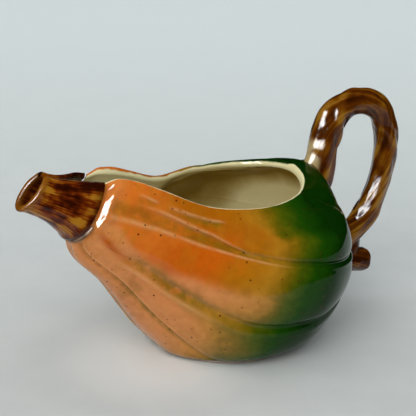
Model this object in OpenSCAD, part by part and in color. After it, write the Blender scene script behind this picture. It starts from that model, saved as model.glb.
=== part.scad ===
// Gourd-shaped ceramic cream jug.
// Frame: the foot rests on z = 0 about the origin, the spout points to -X, the handle to +X,
// and y = 0 is the mirror plane. Millimetres.

/* [Overall size] */
// Length from the spout tip to the back of the handle
jug_length = 213; // [200:1:230]
// Height from the table to the top of the handle
jug_height = 116; // [109:1:125]
// Width of the bowl between the creases
bowl_width = 118; // [108:1:126]

/* [Bowl] */
// Thickness of the bowl wall
bowl_wall = 4; // [3.4:0.1:4.6]
// Depth of the creases between the lobes, as a share of the local radius
crease_depth = 0.045; // [0.01:0.005:0.06]
// Raised mound under the handle's upper root, as a share of the local radius
mound_height = 0.12; // [0.04:0.02:0.14]
// How far the neck's shoulders swell out behind the spout, as a share of the local radius
shoulder_height = 0.14; // [0:0.02:0.16]

/* [Foot] */
// Height of the unglazed foot ring
foot_height = 1.2; // [0.8:0.1:2]
// Outer radius of the foot ring
foot_radius = 36; // [33:0.5:36]
// Width of the ring's resting face
foot_land = 5; // [4:0.5:8]

/* [Spout] */
// Thickness of the spout wall
spout_wall = 3; // [2.6:0.1:3.4]
// Radius of the slip bead under the spout
spout_bead_radius = 1.6; // [1.3:0.1:1.8]

/* [Handle] */
// Radius of the vine, averaged along the handle
vine_radius = 6.6; // [6:0.1:7.2]
// Radius of the slip beads round the handle's roots
root_bead_radius = 1.6; // [1.2:0.1:2]
// Radius of the cut twig beside the lower root
twig_radius = 6.2; // [5.4:0.1:6.6]

/* [Hidden] */

// Every place below is at the design size, and these factors stretch it to the size asked for.
design_length = 213;
design_height = 116;
design_width = 118;
stretch_x = jug_length / design_length;
stretch_z = jug_height / design_height;
stretch_y = bowl_width / design_width;

orange_glaze = [0.80, 0.42, 0.13];
bark_glaze = [0.42, 0.22, 0.06];
slip_colour = [0.62, 0.47, 0.26];
bare_clay = [0.80, 0.74, 0.63];

// Sections of the bowl from the neck to the blossom end.
// Each is [centre x, centre z, lean in degrees, half width, rise above centre, drop below centre].
bowl_sections = [
    [-80, 82.5, 32, 15.2, 19.8, 15.2],
    [-71, 79, 30, 15.6, 26, 24.5],
    [-54.5, 71, 27, 21.5, 32, 33],
    [-32, 59.5, 20, 33.5, 34, 50.5],
    [-7, 51, 16, 53, 38.5, 66],
    [18, 46.5, 12, 59, 38, 62],
    [36, 43, 9, 51, 38.5, 50.5],
    [50, 43, 2, 34.5, 27, 31.5],
    [64, 42.5, 0, 0, 0, 0]
];
// How steeply each value runs into the blossom end: the centre stops, the radii close square on.
blossom_pull = [0, 1, 1, 1.5, 1.5, 1.5];
// Half angle of the mouth, measured from the top at the same sections as the bowl
mouth_half_angles = [36, 40.5, 49.5, 51, 47, 42, 40, 40, 40];
// Place of the mouth's rear end, counted in sections
mouth_end = 5.65;
// Place where the blossom scar cuts off the bowl, counted in sections
blossom_scar = 7.95;
// Swellings of the bowl: [middle and reach in sections, middle and reach in degrees from the top]
mound_place = [6.55, 0.6, 0, 30];
shoulder_place = [0.5, 0.38, 85, 38];
// How full the lobes are between the creases: less than 1 is fuller
lobe_fullness = 0.6;
// The creases start at this share of their depth, are full from one section, and fade before the end
crease_start = 0.25;
crease_full_from = 2.5;
crease_fade_out = 0.8;
// Roundness of the turn from the wall to the underside, and how far the underside is trimmed flat
foot_turn = 2;
foot_trim = 0.15;

// Sections of the spout from the neck to the pouring lip, in the same form as the bowl's
spout_sections = [
    [-80, 82.5, 32, 14.8, 20.2, 15.4],
    [-85.5, 85.2, 34, 12.6, 18, 13],
    [-91, 88.2, 38, 10, 15, 10.8],
    [-98, 91.8, 42, 7.9, 12.3, 9.8],
    [-103.5, 95, 44, 7.1, 11.2, 10.2]
];
spout_pull = [1, 1, 1, 1, 1, 1];
// Half angle of the open slot along the top of the spout
spout_slot_angles = [36, 34, 31, 28, 27];

// Centre line of the vine handle from the upper root to the lower root: [x, z, share of radius]
vine_path = [
    [50, 66, 1.3],
    [54, 77, 1.18],
    [56.5, 90, 1.12],
    [61.5, 102, 1.14],
    [72, 108.5, 1.04],
    [84, 107, 0.98],
    [92.5, 99.5, 0.95],
    [96, 86, 0.94],
    [94.5, 70.5, 0.92],
    [89, 55, 0.89],
    [81, 43.5, 0.91],
    [71, 35.5, 0.93],
    [58, 29, 0.94]
];
tail_path = [[78, 41, 0.55], [77, 33, 0.62], [75.5, 25, 0.58], [73, 17, 0.42]];
twig_path = [[54, 25, 0.9], [65, 23.7, 0.94], [76, 22.3, 0.96], [83.6, 21.2, 1], [85, 21, 0.9]];
// How much the bark grooves cut into the vine, how many there are and how far they twist
bark_groove = 0.045;
bark_grooves = 5;
bark_twist = 200;
// Raised ridges that wind round the vine: their radius, how deep their centre lies, how far they wind,
// and where each runs: [start and end, counted in points of the path, angle at its start]
ridge_radius = 2;
ridge_sink = 1.3;
ridge_turn = 330;
ridge_steps = 12;
ridge_places = [[0.8, 4.6, 80], [6.2, 10.2, 200]];
// Upper root: middle and reach of the slip bead in sections of the gourd, and its half size across,
// as a share of the vine's radius
upper_root = 6.92;
upper_root_reach = 0.45;
upper_root_across = 1.4;
// Lower root: middle of the slip bead [x, z], its heading, and its half sizes along and across,
// as shares of the vine's radius
lower_root = [62.3, 32.4];
lower_root_heading = 71;
lower_root_along = 1.12;
lower_root_across = 1.05;
// The slip bead under the spout starts at this angle from the top, and stands this far off the neck
spout_bead_start = 104;
spout_bead_lift = 0.3;

bowl_rows_open = 26;
bowl_rows_closed = 12;
// How strongly the rows crowd together at the mouth's rear end and at the blossom scar
mouth_crowding = 1.5;
scar_crowding = 1.4;
// Columns between the mouth's edge, the shoulder and the creases, down to the middle of the underside
columns_between = [3, 4, 7, 6, 6];
spout_rows = 12;
spout_columns = 34;
vine_rings = 46;
vine_sides = 18;
twig_rings = 10;
bead_steps = 20;
bead_facets = 12;
round_facets = 96;
hair = 0.02;

// ---- curves -------------------------------------------------------------------------------

function scaled(a, b) = [for (k = [0 : len(a) - 1]) a[k] * b[k]];

function slope(p, i, pull) =
    i == 0 ? p[1] - p[0] :
    i == len(p) - 1 ? scaled(p[i] - p[i - 1], pull) :
    (p[i + 1] - p[i - 1]) / 2;

// Smooth curve through the rows of p, where u counts the rows
function curve(p, u, pull) =
    let (i = min(floor(u), len(p) - 2), t = u - i)
    (2 * t^3 - 3 * t^2 + 1) * p[i] + (t^3 - 2 * t^2 + t) * slope(p, i, pull)
    + (3 * t^2 - 2 * t^3) * p[i + 1] + (t^3 - t^2) * slope(p, i + 1, pull);

function curve_1d(p, u) = curve([for (value = p) [value]], u, [1])[0];

function clamped(value, low, high) = max(low, min(high, value));

function flat(lists) = [for (list = lists) for (item = list) item];

// ---- the gourd's surface --------------------------------------------------------------------

// Angles from the top at which the creases run, from the mouth down to the middle of the underside
function creases(u) = [-40, 40, 76 + 0.8 * u, 118.5 - 0.8 * u, 145.5, 180];

// Share of the radius left at an angle: rounded lobes that meet in sharp creases
function lobed(u, v, depth) =
    let (
        c = creases(u),
        rise = [for (k = [0 : len(c) - 2]) if (c[k] <= v && v < c[k + 1] || v == c[k + 1] && v == 180)
            pow(abs(sin(180 * (v - c[k]) / (c[k + 1] - c[k]))), lobe_fullness)][0],
        fade = clamped(u / crease_full_from, crease_start, 1) * clamped((8 - u) / crease_fade_out, 0, 1)
    )
    1 - depth * fade * (1 - rise);

// How much a swelling of a given height adds at a place on the bowl
function swelling(height, place, u, v) =
    height * exp(-pow((u - place[0]) / place[1], 2) - pow((v - place[2]) / place[3], 2));

// The underside is flat, with a rounded turn up into the wall
function on_floor(z, floor_z) =
    max(floor_z, (z + floor_z + sqrt(pow(z - floor_z, 2) + foot_turn * foot_turn)) / 2 - foot_trim);

// A point of one section: v runs round it in degrees from the top, inset moves it into the wall
function section_point(s, v, share, inset) =
    let (
        rise = (cos(v) > 0 ? s[4] : s[5]) * stretch_z - inset,
        h = rise * cos(v) * share,
        y = (s[3] * stretch_y - inset) * sin(v) * share
    )
    [s[0] * stretch_x + h * sin(s[2]), y, s[1] * stretch_z + h * cos(s[2])];

function bowl_section(u, inset) =
    let (s = curve(bowl_sections, u, blossom_pull), into_end = pow(u / 8, 4))
    [s[0] - inset * into_end, s[1], s[2], s[3], s[4], s[5]];

function bowl_point(u, s, v, inset) =
    let (
        from_top = v > 180 ? 360 - v : v,
        kept = inset * clamped((8 - u) * 2, 0, 1),
        depth = inset > 0 ? crease_depth / 2 : crease_depth,
        share = lobed(u, from_top, depth)
            + swelling(mound_height, mound_place, u, from_top)
            + swelling(shoulder_height, shoulder_place, u, from_top),
        p = section_point(s, v, share, kept)
    )
    [p[0], p[1], on_floor(p[2], foot_height + inset)];

function mouth_half_angle(u) =
    u >= mouth_end ? 0 : curve_1d(mouth_half_angles, u) * sqrt(1 - pow(u / mouth_end, 4));

function spread(from, to, count) = [for (k = [0 : count - 1]) from + (to - from) * k / count];

// Angles of a row's columns, from the mouth's edge down to the underside, with one on each crease
function half_columns(u) =
    let (
        edge = mouth_half_angle(u),
        c = creases(u),
        shoulder = max(c[1], edge + 0.4 * (c[2] - edge)),
        stops = [edge, shoulder, c[2], c[3], c[4], c[5]]
    )
    [for (k = [0 : len(stops) - 2]) each spread(stops[k], stops[k + 1], columns_between[k])];

function all_columns(half) =
    concat(half, [180], [for (k = [len(half) - 1 : -1 : 0]) 360 - half[k]]);

// The rows crowd together at the mouth's rear end and at the blossom scar, where the shape turns fast
bowl_rows = concat(
    [for (i = [0 : bowl_rows_open]) mouth_end * (1 - pow(1 - i / bowl_rows_open, mouth_crowding))],
    [for (i = [1 : bowl_rows_closed])
        blossom_scar - (blossom_scar - mouth_end) * pow(1 - i / bowl_rows_closed, scar_crowding)]
);

function bowl_grid(inset) =
    [for (u = bowl_rows)
        let (s = bowl_section(u, inset))
        [for (v = all_columns(half_columns(u))) bowl_point(u, s, v, inset)]];

// The rows run from the pouring lip to the neck
function spout_grid(inset) =
    [for (i = [spout_rows : -1 : 0])
        let (
            u = (len(spout_sections) - 1) * i / spout_rows,
            s = curve(spout_sections, u, spout_pull),
            edge = curve_1d(spout_slot_angles, u)
        )
        [for (j = [0 : spout_columns])
            section_point(s, edge + (360 - 2 * edge) * j / spout_columns, 1, inset)]];

// ---- solids from rings of points ------------------------------------------------------------

function two_triangles(a, b, c, d) = [[a, b, c], [a, c, d]];

// A wall between an outer and an inner grid. The slot along the top is open up to row last_open.
// After that row the ring is closed, so its last column is its first.
module wall(outer, inner, last_open) {
    rows = len(outer);
    columns = len(outer[0]);
    inner_start = rows * columns;
    last = rows - 1;
    closed_end = last_open < last;
    function id(start, i, j) =
        start + i * columns + (i >= last_open && closed_end ? j % (columns - 1) : j);
    function skin(start) = [for (i = [0 : last - 1]) for (j = [0 : columns - 2])
        each two_triangles(
            id(start, i, j), id(start, i, j + 1), id(start, i + 1, j + 1), id(start, i + 1, j)
        )];
    function reversed(faces) = [for (face = faces) [face[2], face[1], face[0]]];
    function lip(j) = [for (i = [0 : last_open - 1])
        each two_triangles(id(0, i, j), id(0, i + 1, j), id(inner_start, i + 1, j), id(inner_start, i, j))];
    function rim_ring(i) = [for (j = [0 : columns - 2])
        each two_triangles(id(0, i, j), id(inner_start, i, j), id(inner_start, i, j + 1), id(0, i, j + 1))];
    function end_cap(start) = [for (j = [1 : columns - 3])
        [id(start, last, 0), id(start, last, j), id(start, last, j + 1)]];
    polyhedron(
        points = concat(flat(outer), flat(inner)),
        faces = concat(
            skin(0), reversed(skin(inner_start)),
            lip(0), reversed(lip(columns - 1)),
            rim_ring(0),
            closed_end ? concat(end_cap(0), reversed(end_cap(inner_start))) : reversed(rim_ring(last))
        )
    );
}

// A solid skin over closed rings of points, flat at both ends
module skinned(rings) {
    rows = len(rings);
    sides = len(rings[0]);
    function id(i, j) = i * sides + j % sides;
    polyhedron(
        points = flat(rings),
        faces = concat(
            [for (i = [0 : rows - 2]) for (j = [0 : sides - 1])
                each two_triangles(id(i, j), id(i, j + 1), id(i + 1, j + 1), id(i + 1, j))],
            [for (j = [1 : sides - 2]) [id(0, 0), id(0, j + 1), id(0, j)]],
            [for (j = [1 : sides - 2]) [id(rows - 1, 0), id(rows - 1, j), id(rows - 1, j + 1)]]
        )
    );
}

// The gourd filled in, which trims whatever is luted on to it
module filled_gourd() skinned([for (row = bowl_grid(0)) [for (k = [0 : len(row) - 2]) row[k]]]);

function stretched(path) = [for (p = path) [p[0] * stretch_x, p[1] * stretch_z, p[2]]];

// A ring round a path in the mirror plane: its radius and its grooves follow the path
function path_place(path, u) = curve(path, u, [1, 1, 1]);

function path_heading(path, u) =
    let (
        step = 0.05,
        last = len(path) - 1,
        ahead = path_place(path, min(u + step, last)),
        behind = path_place(path, max(u - step, 0))
    )
    atan2(ahead[1] - behind[1], ahead[0] - behind[0]);

// The point at angle turn round the path, at a distance r from its centre line
function round_path(path, u, turn, r) =
    let (p = path_place(path, u), heading = path_heading(path, u))
    [p[0] - r * cos(turn) * sin(heading), r * sin(turn), p[1] + r * cos(turn) * cos(heading)];

module vine(path, radius, rings) {
    last = len(path) - 1;
    skinned([for (i = [0 : rings])
        let (u = last * i / rings, r = path_place(path, u)[2] * radius)
        [for (j = [0 : vine_sides - 1])
            let (turn = 360 * j / vine_sides, groove = cos(bark_grooves * turn + bark_twist * i / rings))
            round_path(path, u, turn, r * (1 + bark_groove * groove))]]);
}

// A round bead through a row of places
module bead(places, radius)
    for (k = [0 : len(places) - 2])
        hull() {
            translate(places[k]) sphere(r = radius, $fn = bead_facets);
            translate(places[k + 1]) sphere(r = radius, $fn = bead_facets);
        }

// A rounded ridge of bark that winds round the vine
module bark_ridge(path, place)
    bead(
        [for (k = [0 : ridge_steps])
            let (
                u = place[0] + (place[1] - place[0]) * k / ridge_steps,
                r = path_place(path, u)[2] * vine_radius
            )
            round_path(path, u, place[2] + ridge_turn * k / ridge_steps, r - ridge_sink)],
        ridge_radius
    );

// ---- sub-parts ------------------------------------------------------------------------------

module gourd_bowl()
    color(orange_glaze)
    wall(bowl_grid(0), bowl_grid(bowl_wall), bowl_rows_open);

module stem_spout()
    color(bark_glaze)
    wall(spout_grid(0), spout_grid(spout_wall), spout_rows);

module spout_seam() {
    neck = bowl_sections[0];
    off_spout = spout_bead_radius * [cos(neck[2]), 0, -sin(neck[2])];
    color(slip_colour)
    difference() {
        bead(
            [for (k = [0 : bead_steps])
                let (v = spout_bead_start + (360 - 2 * spout_bead_start) * k / bead_steps)
                section_point(neck, v, 1, -spout_bead_lift) + off_spout],
            spout_bead_radius
        );
        filled_gourd();
    }
}

module foot_ring()
    color(bare_clay)
    difference() {
        cylinder(r = foot_radius, h = foot_height, $fn = round_facets);
        translate([0, 0, -hair])
            cylinder(r = foot_radius - foot_land, h = foot_height + 2 * hair, $fn = round_facets);
    }

vine_line = stretched(vine_path);

module whole_vine() {
    vine(vine_line, vine_radius, vine_rings);
    for (place = ridge_places) bark_ridge(vine_line, place);
}

module vine_handle()
    color(bark_glaze)
    difference() {
        whole_vine();
        filled_gourd();
    }

module upper_root_bead()
    color(slip_colour)
    difference() {
        bead(
            [for (k = [0 : bead_steps])
                let (
                    turn = 360 * k / bead_steps,
                    u = upper_root + upper_root_reach * cos(turn),
                    s = bowl_section(u, 0),
                    v = asin(upper_root_across * vine_radius * sin(turn) / s[3])
                )
                bowl_point(u, s, (360 + v) % 360, 0)],
            root_bead_radius
        );
        filled_gourd();
        whole_vine();
    }

module lower_root_bead()
    color(slip_colour)
    difference() {
        bead(
            [for (k = [0 : bead_steps])
                let (turn = 360 * k / bead_steps, s = lower_root_along * vine_radius * cos(turn))
                [
                    lower_root[0] * stretch_x + s * cos(lower_root_heading),
                    lower_root_across * vine_radius * sin(turn),
                    lower_root[1] * stretch_z + s * sin(lower_root_heading)
                ]],
            root_bead_radius
        );
        filled_gourd();
        whole_vine();
        vine(stretched(twig_path), twig_radius, twig_rings);
    }

module vine_tail()
    color(bark_glaze)
    difference() {
        vine(stretched(tail_path), vine_radius, twig_rings);
        filled_gourd();
        whole_vine();
    }

module twig_stub()
    color(bark_glaze)
    difference() {
        vine(stretched(twig_path), twig_radius, twig_rings);
        filled_gourd();
        whole_vine();
        vine(stretched(tail_path), vine_radius, twig_rings);
    }

gourd_bowl();
stem_spout();
spout_seam();
foot_ring();
vine_handle();
upper_root_bead();
lower_root_bead();
vine_tail();
twig_stub();
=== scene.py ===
import bmesh
import bpy
import numpy as np
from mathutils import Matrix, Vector, noise
from mathutils.bvhtree import BVHTree


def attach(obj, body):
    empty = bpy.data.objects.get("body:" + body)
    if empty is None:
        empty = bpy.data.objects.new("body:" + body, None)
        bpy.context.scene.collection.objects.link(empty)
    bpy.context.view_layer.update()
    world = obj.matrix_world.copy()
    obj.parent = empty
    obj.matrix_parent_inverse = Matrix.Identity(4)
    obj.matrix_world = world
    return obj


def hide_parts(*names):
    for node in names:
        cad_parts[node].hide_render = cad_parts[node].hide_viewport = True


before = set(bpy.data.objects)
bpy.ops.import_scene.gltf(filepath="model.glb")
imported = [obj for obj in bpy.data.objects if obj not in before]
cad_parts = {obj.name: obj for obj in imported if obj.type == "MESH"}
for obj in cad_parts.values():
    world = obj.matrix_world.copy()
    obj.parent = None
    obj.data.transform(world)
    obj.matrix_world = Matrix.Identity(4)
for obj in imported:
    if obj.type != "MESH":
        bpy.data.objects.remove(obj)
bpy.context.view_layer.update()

# The jug's shape is worked out in millimetres, in the CAD model's frame: the foot rests on z = 0 about
# the origin, the spout points to -X, the handle to +X, and y = 0 is the mirror plane.
MM = 0.001
# Points of a piece that are closer than this, in metres, are joined.
JOIN_DISTANCE = 2e-6

# ---- curves ----


def curve(rows, u, end_pull=1.0):
    """Smooth curve through the rows of a table, where u counts the rows."""
    rows = np.asarray(rows, float)
    u = np.asarray(u, float)
    slopes = np.empty_like(rows)
    slopes[0] = rows[1] - rows[0]
    slopes[1:-1] = (rows[2:] - rows[:-2]) / 2
    slopes[-1] = (rows[-1] - rows[-2]) * end_pull
    i = np.clip(np.floor(u).astype(int), 0, len(rows) - 2)
    t = (u - i)[..., None]
    return (
        (2 * t**3 - 3 * t**2 + 1) * rows[i]
        + (t**3 - 2 * t**2 + t) * slopes[i]
        + (3 * t**2 - 2 * t**3) * rows[i + 1]
        + (t**3 - t**2) * slopes[i + 1]
    )


def curve_1d(values, u):
    return curve(np.asarray(values, float)[:, None], u)[..., 0]


def bell(distance, width):
    """A smooth bump that is 1 at no distance."""
    return np.exp(-((distance / width) ** 2))


def step(value, low, high):
    """A smooth step from 0 at low to 1 at high."""
    t = np.clip((value - low) / (high - low), 0, 1)
    return t * t * (3 - 2 * t)


def wobble(points, size, seed):
    """Smooth noise from -1 to 1 at points in millimetres, with lumps of the given size."""
    flat = np.asarray(points, float).reshape(-1, 3) / size
    shift = Vector((seed * 7.3, seed * 3.1, seed * 5.7))
    values = [noise.noise(Vector(p) + shift) for p in flat]
    return np.array(values).reshape(np.asarray(points).shape[:-1])


def unit(vectors):
    return vectors / np.maximum(np.linalg.norm(vectors, axis=-1, keepdims=True), 1e-9)


# ---- meshes ----


def grid_faces(rows, columns, start=0):
    """Quads over a grid of points that are numbered row by row."""
    i, j = np.meshgrid(np.arange(rows - 1), np.arange(columns - 1), indexing="ij")
    a = start + i * columns + j
    return np.stack([a, a + 1, a + columns + 1, a + columns], -1).reshape(-1, 4)


def placed(name, data):
    """A new object in the scene."""
    item = bpy.data.objects.new(name, data)
    bpy.context.scene.collection.objects.link(item)
    return item


def revolved(profile, count):
    """Points of a profile of (radius, height) that is turned about the Z axis."""
    radii, heights = np.array(profile, float).T
    turn = np.linspace(0, 2 * np.pi, count)[:, None]
    return np.stack([radii * np.cos(turn), radii * np.sin(turn), heights + 0 * turn], -1)


def new_piece(name, grids, material, slot, *nodes):
    """One piece from grids of points in millimetres. Each grid is (points, {attribute: values}), and
    points that meet are joined."""
    points, faces, start = [], [], 0
    for grid, _ in grids:
        rows, columns = grid.shape[:2]
        points.append(grid.reshape(-1, 3))
        faces.append(grid_faces(rows, columns, start))
        start += rows * columns
    points = np.concatenate(points) * MM
    mesh = bpy.data.meshes.new(name)
    mesh.from_pydata(points.tolist(), [], np.concatenate(faces).tolist())
    for key in grids[0][1]:
        values = np.concatenate([np.asarray(marks[key], float).reshape(grid.shape[0] * grid.shape[1], -1)
                                 for grid, marks in grids])
        if values.shape[1] == 3:
            mesh.attributes.new(key, "FLOAT_VECTOR", "POINT").data.foreach_set("vector", values.ravel())
        else:
            mesh.attributes.new(key, "FLOAT", "POINT").data.foreach_set("value", values.ravel())
    work = bmesh.new()
    work.from_mesh(mesh)
    bmesh.ops.remove_doubles(work, verts=work.verts, dist=JOIN_DISTANCE)
    bmesh.ops.recalc_face_normals(work, faces=work.faces)
    work.to_mesh(mesh)
    work.free()
    mesh.shade_smooth()
    mesh.materials.append(material)
    piece = placed(name, mesh)
    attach(piece, "root")
    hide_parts(*nodes)
    return piece


def normals_of(grid, inside):
    """Outward normals of a grid of points round the given inner points."""
    across = np.gradient(grid, axis=1)
    along = np.gradient(grid, axis=0)
    n = unit(np.cross(across, along))
    side = np.sign(((grid - inside) * n).sum(-1, keepdims=True))
    return n * np.where(side == 0, 1, side)


# ---- the gourd's surface ----

# Sections from the neck to the blossom end:
# [centre x, centre z, lean in degrees, half width, rise above centre, drop below centre]
BOWL_SECTIONS = [
    [-80, 82.5, 32, 15.2, 19.8, 15.2],
    [-71, 79, 30, 15.6, 26, 24.5],
    [-54.5, 71, 27, 21.5, 32, 33],
    [-32, 59.5, 20, 33.5, 34, 50.5],
    [-7, 51, 16, 53, 38.5, 66],
    [18, 46.5, 12, 59, 38, 62],
    [36, 43, 9, 51, 38.5, 50.5],
    [50, 43, 2, 34.5, 27, 31.5],
    [64, 42.5, 0, 0, 0, 0],
]
# How hard each column of the sections pulls towards its last value
BLOSSOM_PULL = np.array([0, 1, 1, 1.5, 1.5, 1.5])
BLOSSOM_END = len(BOWL_SECTIONS) - 1
# The section where the surface stops, at the scar in the middle of the blossom end
BLOSSOM_SCAR = 7.97
# Half the mouth's width at each section, in degrees from the top, and the section where the mouth ends
MOUTH_HALF_ANGLES = [36, 40.5, 49.5, 51, 47, 42, 40, 40, 40]
MOUTH_END = 5.69
WALL = 4.0
LIP_SET_BACK = 0.9
LIP_BULGE = 1.3
FAR_LIP_EXTRA = 1.3
FOOT_HEIGHT = 1.2
# How softly the underside runs into the foot's top plane: a squared length, and how far the blend sinks
FOOT_BLEND = 4.0
FOOT_SINK = 0.15
# Creases between the lobes: [angle from the top at the neck, change per section], in degrees
CREASES = [(-40, 0.0), (40, 0.0), (76, 0.8), (118.5, -0.8), (145.5, 0.0), (180, 0.0)]
CREASE_DEPTH = 0.045
LOBE_ROUNDNESS = 0.6
# Swellings: [share of the radius, angle from the top, its width, section, its width]
BLOSSOM_MOUND = (0.12, 0, 30, 6.55, 0.6)
NECK_SHOULDER = (0.14, 85, 38, 0.5, 0.38)


def crease_angles(u):
    u = np.asarray(u, float)
    return [start + change * u for start, change in CREASES]


def lobed(u, v, depth):
    """Share of the radius left at an angle: rounded lobes that meet in creases."""
    c = crease_angles(u)
    rise = np.ones(np.broadcast(u, v).shape)
    for low, high in zip(c[:-1], c[1:]):
        here = (v >= low) & (v <= high)
        lobe = np.abs(np.sin(np.pi * (v - low) / (high - low))) ** LOBE_ROUNDNESS
        rise = np.where(here, lobe, rise)
    fade = np.clip(u / 2.5, 0.25, 1) * np.clip((BLOSSOM_END - u) / 0.8, 0, 1)
    return 1 - depth * fade * (1 - rise)


def swelling(u, from_top, height, angle, angle_width, section, section_width):
    return height * bell(from_top - angle, angle_width) * bell(u - section, section_width)


def bowl_centres(u, inset=0.0):
    s = curve(BOWL_SECTIONS, u, BLOSSOM_PULL)
    s[..., 0] -= inset * (u / BLOSSOM_END) ** 4
    return s


def middle_of(s):
    """The points on the mirror plane at the centres of sections."""
    return np.stack([s[..., 0], 0 * s[..., 0], s[..., 1]], -1)


def from_top_of(v):
    """Angle from the top, 0 to 180, for an angle all the way round."""
    return np.minimum(v, 360 - v)


def section_points(s, v, inset, share=1.0):
    turn, lean = np.radians(v), np.radians(s[..., 2])
    rise = np.where(np.cos(turn) > 0, s[..., 4], s[..., 5]) - inset
    h = rise * np.cos(turn) * share
    y = (s[..., 3] - inset) * np.sin(turn) * share
    return np.stack([s[..., 0] + h * np.sin(lean), y, s[..., 1] + h * np.cos(lean)], -1)


def bowl_surface(u, v, inset=0.0):
    """Points of the gourd. u counts sections, v is the angle from the top in degrees, 0 to 360."""
    s = bowl_centres(u, inset)
    from_top = from_top_of(v)
    kept = inset * np.clip((BLOSSOM_END - u) * 2, 0, 1)
    depth = CREASE_DEPTH / 2 if inset > 0 else CREASE_DEPTH
    mound = swelling(u, from_top, *BLOSSOM_MOUND)
    shoulder = swelling(u, from_top, *NECK_SHOULDER)
    share = lobed(u, from_top, depth) + mound + shoulder
    points = section_points(s, v, kept, share)
    z = points[..., 2]
    floor = FOOT_HEIGHT + inset
    blended = (z + floor + np.sqrt((z - floor) ** 2 + FOOT_BLEND)) / 2 - FOOT_SINK
    points[..., 2] = np.maximum(floor, blended)
    return points


def mouth_half_angle(u):
    open_here = u < MOUTH_END
    inside = np.clip(1 - (np.minimum(u, MOUTH_END) / MOUTH_END) ** 4, 0, 1)
    return np.where(open_here, curve_1d(MOUTH_HALF_ANGLES, u) * np.sqrt(inside), 0)


def spread(start, end, count, crowd=0.6):
    """Values from start up to but without end, crowded towards both by the given share."""
    t = np.arange(count) / count
    t = (1 - crowd) * t + crowd * (1 - np.cos(np.pi * t)) / 2
    return start + (end - start) * t


# Columns of points over each lobe of one side, from the mouth down
LOBE_COLUMNS = (46, 32, 22, 22)


def column_angles(u):
    """Angles of one row's columns, from the mouth's edge round to its other edge, dense at the creases."""
    radius = float(bowl_centres(np.array(u))[4])
    edge = float(mouth_half_angle(np.array(u)))
    if edge > 0:
        edge = edge + np.degrees(LIP_SET_BACK / max(radius, 8)) * min(1, (MOUTH_END - u) / 0.3)
    ends = [edge] + [float(a) for a in crease_angles(np.array(u))[2:]]
    half = np.concatenate([spread(*run) for run in zip(ends[:-1], ends[1:], LOBE_COLUMNS)])
    return np.concatenate([half, [180], 360 - half[::-1]])


# Lines pressed into the clay: [path of (section, angle from the top), (first, last section),
# (depth, width), (the ridge's height, its offset from the line, its width), fade in sections]
PRESSED_LINES = [
    ([(0, 76), (8, 82.4)], (0.7, 7.2), (0.70, 2.2), (0.60, 2.3, 1.2), 0.25),
    ([(0, 72.5), (2, 73), (3, 74.5), (3.6, 81), (5, 84)], (1.8, 3.5), (0.60, 1.6), (0.65, -1.8, 1.0), 0.5),
    ([(0, 118.5), (8, 112.1)], (1.8, 7.3), (0.80, 2.6), (0.50, 3.3, 1.5), 0.25),
    ([(0, 145.5), (8, 145.5)], (0.3, 6.5), (1.1, 2.0), (0.9, -2.2, 1.0), 0.25),
    ([(0, 176), (8, 176)], (0.3, 3.5), (0.4, 2.4), (0.25, -2.8, 1.4), 0.25),
    ([(1.9, 68), (2.2, 66.5), (3.0, 63.5), (3.2, 62)], (2.2, 3.15), (0.6, 1.5), (0.9, -1.5, 1.0), 0.1),
    ([(1.4, 62), (1.9, 65.5)], (1.45, 1.9), (0.45, 1.2), (0.7, -1.4, 0.9), 0.1),
    ([(4.9, 26), (5.1, 30), (6.1, 46), (6.6, 52)], (5.25, 6.35), (0.35, 2.0), (0.45, 2.4, 1.5), 0.25),
]
# A dent in the upper lobe, where a degree and a section are about this many millimetres long
DIMPLE_ANGLE, DIMPLE_HEIGHT, DEGREE_LENGTH = 61, 3.2, 0.87
DIMPLE_SECTION, DIMPLE_LENGTH, SECTION_LENGTH = 4.1, 4.0, 22
# The neck turns in where it meets the stem, and swells behind that.
NECK_TUCK = 2.6
NECK_SWELL = 1.5


def dimple(u, from_top):
    """How much of the dent there is: 1 at its middle."""
    return (bell(DEGREE_LENGTH * (from_top - DIMPLE_ANGLE), DIMPLE_HEIGHT)
            * bell(SECTION_LENGTH * (u - DIMPLE_SECTION), DIMPLE_LENGTH))


def distance_from_line(u, from_top, radius, path, ends, fade):
    """Distance in millimetres from a line on the gourd, and how much of the line there is at each u."""
    sections, angles = zip(*path)
    distance = np.radians(from_top - np.interp(u, sections, angles)) * radius
    starts = step(u, ends[0] - fade, ends[0] + fade)
    stops = step(u, ends[1] - fade, ends[1] + fade)
    return distance, starts * (1 - stops)


def gourd_detail(u, v, points):
    """How far the surface stands out from the plain lobes, how deep each point is in a pressed line, and
    how much of a ridge's paler line it has: a thinner glaze, with a painted highlight."""
    from_top = from_top_of(v)
    radius = np.linalg.norm(points - middle_of(bowl_centres(u)), axis=-1)
    out = 0.45 * wobble(points, 24, 1) + 0.16 * wobble(points, 9, 2)
    deep, thin = np.zeros_like(out), np.zeros_like(out)
    for path, ends, (depth, width), (ridge, ridge_at, ridge_width), fade in PRESSED_LINES:
        d, there = distance_from_line(u, from_top, radius, path, ends, fade)
        out = out + there * (ridge * bell(d - ridge_at, ridge_width) - depth * bell(d, width))
        deep = np.maximum(deep, there * 1.15 * bell(d, width * 1.2))
        thin = np.maximum(thin, there * bell(d - ridge_at, ridge_width * 0.6))
    out = out - dimple(u, from_top)
    above = step(from_top, 150, 105)
    tuck = NECK_TUCK * bell(u, 0.58) * (0.4 + 0.6 * above)
    swell = NECK_SWELL * bell(u - 1.42, 0.6) * above
    uneven = 0.35 * wobble(points, 7, 41) + 0.34 * wobble(points, 3.4, 42)
    out = out - tuck + swell + uneven * bell(u - 0.9, 0.6) * above
    out = out * step(BLOSSOM_SCAR - u, 0, 0.5) * step(points[..., 2], FOOT_HEIGHT, 9)
    return out, deep, thin


# ---- the bowl ----

# Rows of points beside the mouth, and behind it
ROWS_OPEN = 124
ROWS_CLOSED = 46
RIM = ROWS_OPEN + 1
LIP_STEPS = 13

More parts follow.
